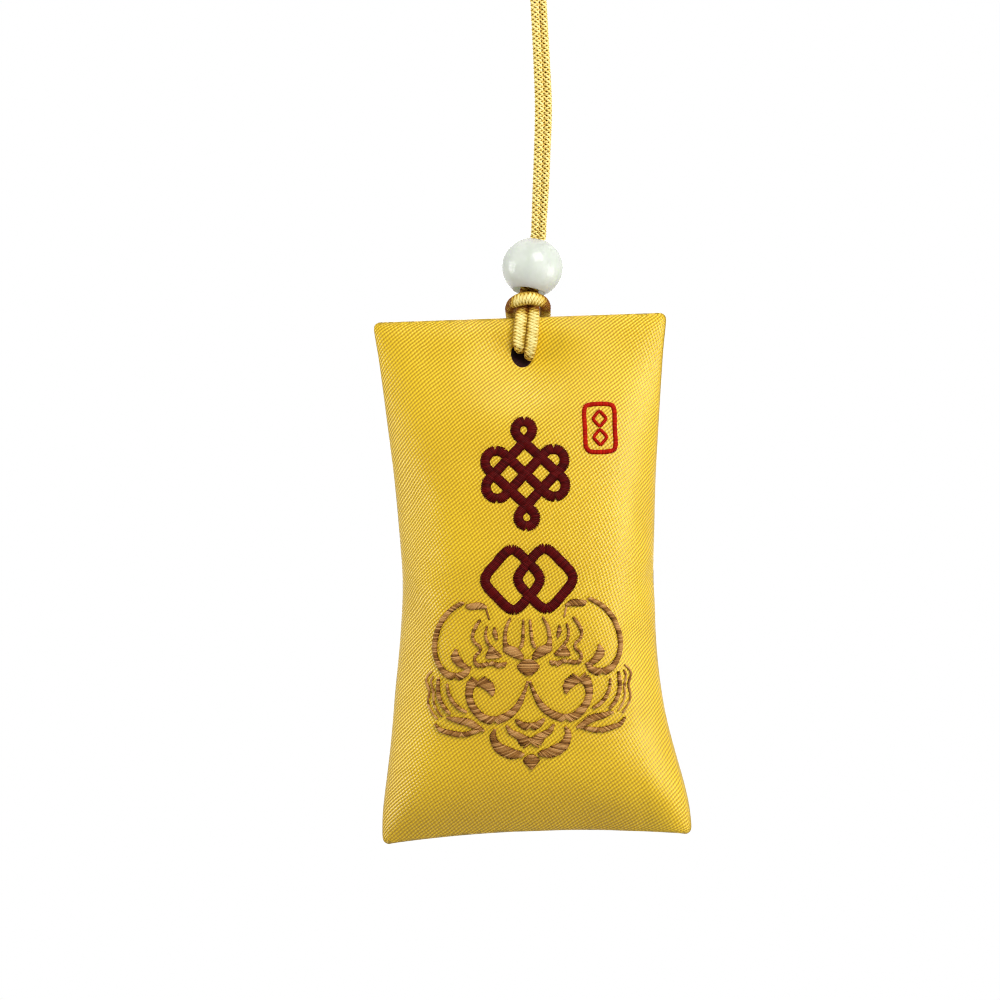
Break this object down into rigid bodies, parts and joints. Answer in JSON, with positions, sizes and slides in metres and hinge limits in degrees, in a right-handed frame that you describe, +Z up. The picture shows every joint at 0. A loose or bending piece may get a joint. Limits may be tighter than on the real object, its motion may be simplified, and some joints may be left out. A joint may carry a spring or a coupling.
{
  "type": "amulet pouch",
  "caption": "Stuffed satin amulet pouch with embroidered front, hung by a doubled cord in a cow hitch through a hole near its top edge, with a stone bead sliding on the cord.",
  "frame": {"origin": "the hang point, between the two strands of the cord just under the end knot", "axes": "+Z up along the hanging cord, the embroidered front faces -Y, +X to the right seen from the front"},
  "size_m": [0.0414, 0.0148, 0.1256],
  "materials": {
    "satin": "yellow-gold twill satin",
    "cord": "fine golden braid",
    "stone": "pale green-white, polished",
    "maroon_thread": "dark maroon satin stitch",
    "red_thread": "red satin stitch",
    "bronze_thread": "gold-brown satin stitch",
    "sewing_thread": "matt sewing thread",
    "wadding": "white fibre",
    "paper": "plain yellow paper"
  },
  "bodies": {
    "hanger": {"left_strand": "cord", "right_strand": "cord", "end_knot": "cord", "left_tail": "cord", "right_tail": "cord"},
    "bead": {"bead": "stone"},
    "hitch": {"hitch": "cord"},
    "pouch": {"front_panel": "satin", "back_panel": "satin", "embroidery_backing": "wadding", "front_wadding": "wadding", "back_wadding": "wadding", "amulet_slip": "paper", "left_seam_thread": "sewing_thread", "right_seam_thread": "sewing_thread", "top_closing_thread": "sewing_thread", "bottom_seam_thread": "sewing_thread", "upper_emblem": "maroon_thread", "lower_emblem": "maroon_thread", "seal_frame": "red_thread", "seal_lozenge_upper": "red_thread", "seal_lozenge_lower": "red_thread", "lotus_heart": "bronze_thread", "lotus_pad": "bronze_thread", "lotus_cup": "bronze_thread", "lotus_chevron": "bronze_thread", "left_horn": "bronze_thread", "left_leaf": "bronze_thread", "left_side_petal": "bronze_thread", "left_inner_leaf": "bronze_thread", "left_flank_petal": "bronze_thread", "left_scroll": "bronze_thread", "left_wing_outer": "bronze_thread", "left_wing_middle": "bronze_thread", "left_wing_inner": "bronze_thread", "left_feather_upper": "bronze_thread", "left_feather_lower": "bronze_thread", "left_pendant_petal": "bronze_thread", "left_bulb": "bronze_thread", "left_petal_fill": "bronze_thread", "right_horn": "bronze_thread", "right_leaf": "bronze_thread", "right_side_petal": "bronze_thread", "right_inner_leaf": "bronze_thread", "right_flank_petal": "bronze_thread", "right_scroll": "bronze_thread", "right_wing_outer": "bronze_thread", "right_wing_middle": "bronze_thread", "right_wing_inner": "bronze_thread", "right_feather_upper": "bronze_thread", "right_feather_lower": "bronze_thread", "right_pendant_petal": "bronze_thread", "right_bulb": "bronze_thread", "right_petal_fill": "bronze_thread"}
  },
  "joints": [
    {"name": "bead_slide", "type": "slide", "parent": "hanger", "child": "bead", "axis": [0.1386, 0, 0.9903], "range_m": [0, 0.009]},
    {"name": "neck_flex", "type": "hinge", "parent": "hanger", "child": "hitch", "pos_m": [-0.00267, 0, -0.04225], "axis": [1, 0, 0], "range_deg": [-14, 60]},
    {"name": "pouch_swing", "type": "hinge", "parent": "hitch", "child": "pouch", "pos_m": [-0.0039, 0, -0.051], "axis": [0, 1, 0], "range_deg": [-10, 12]}
  ]
}
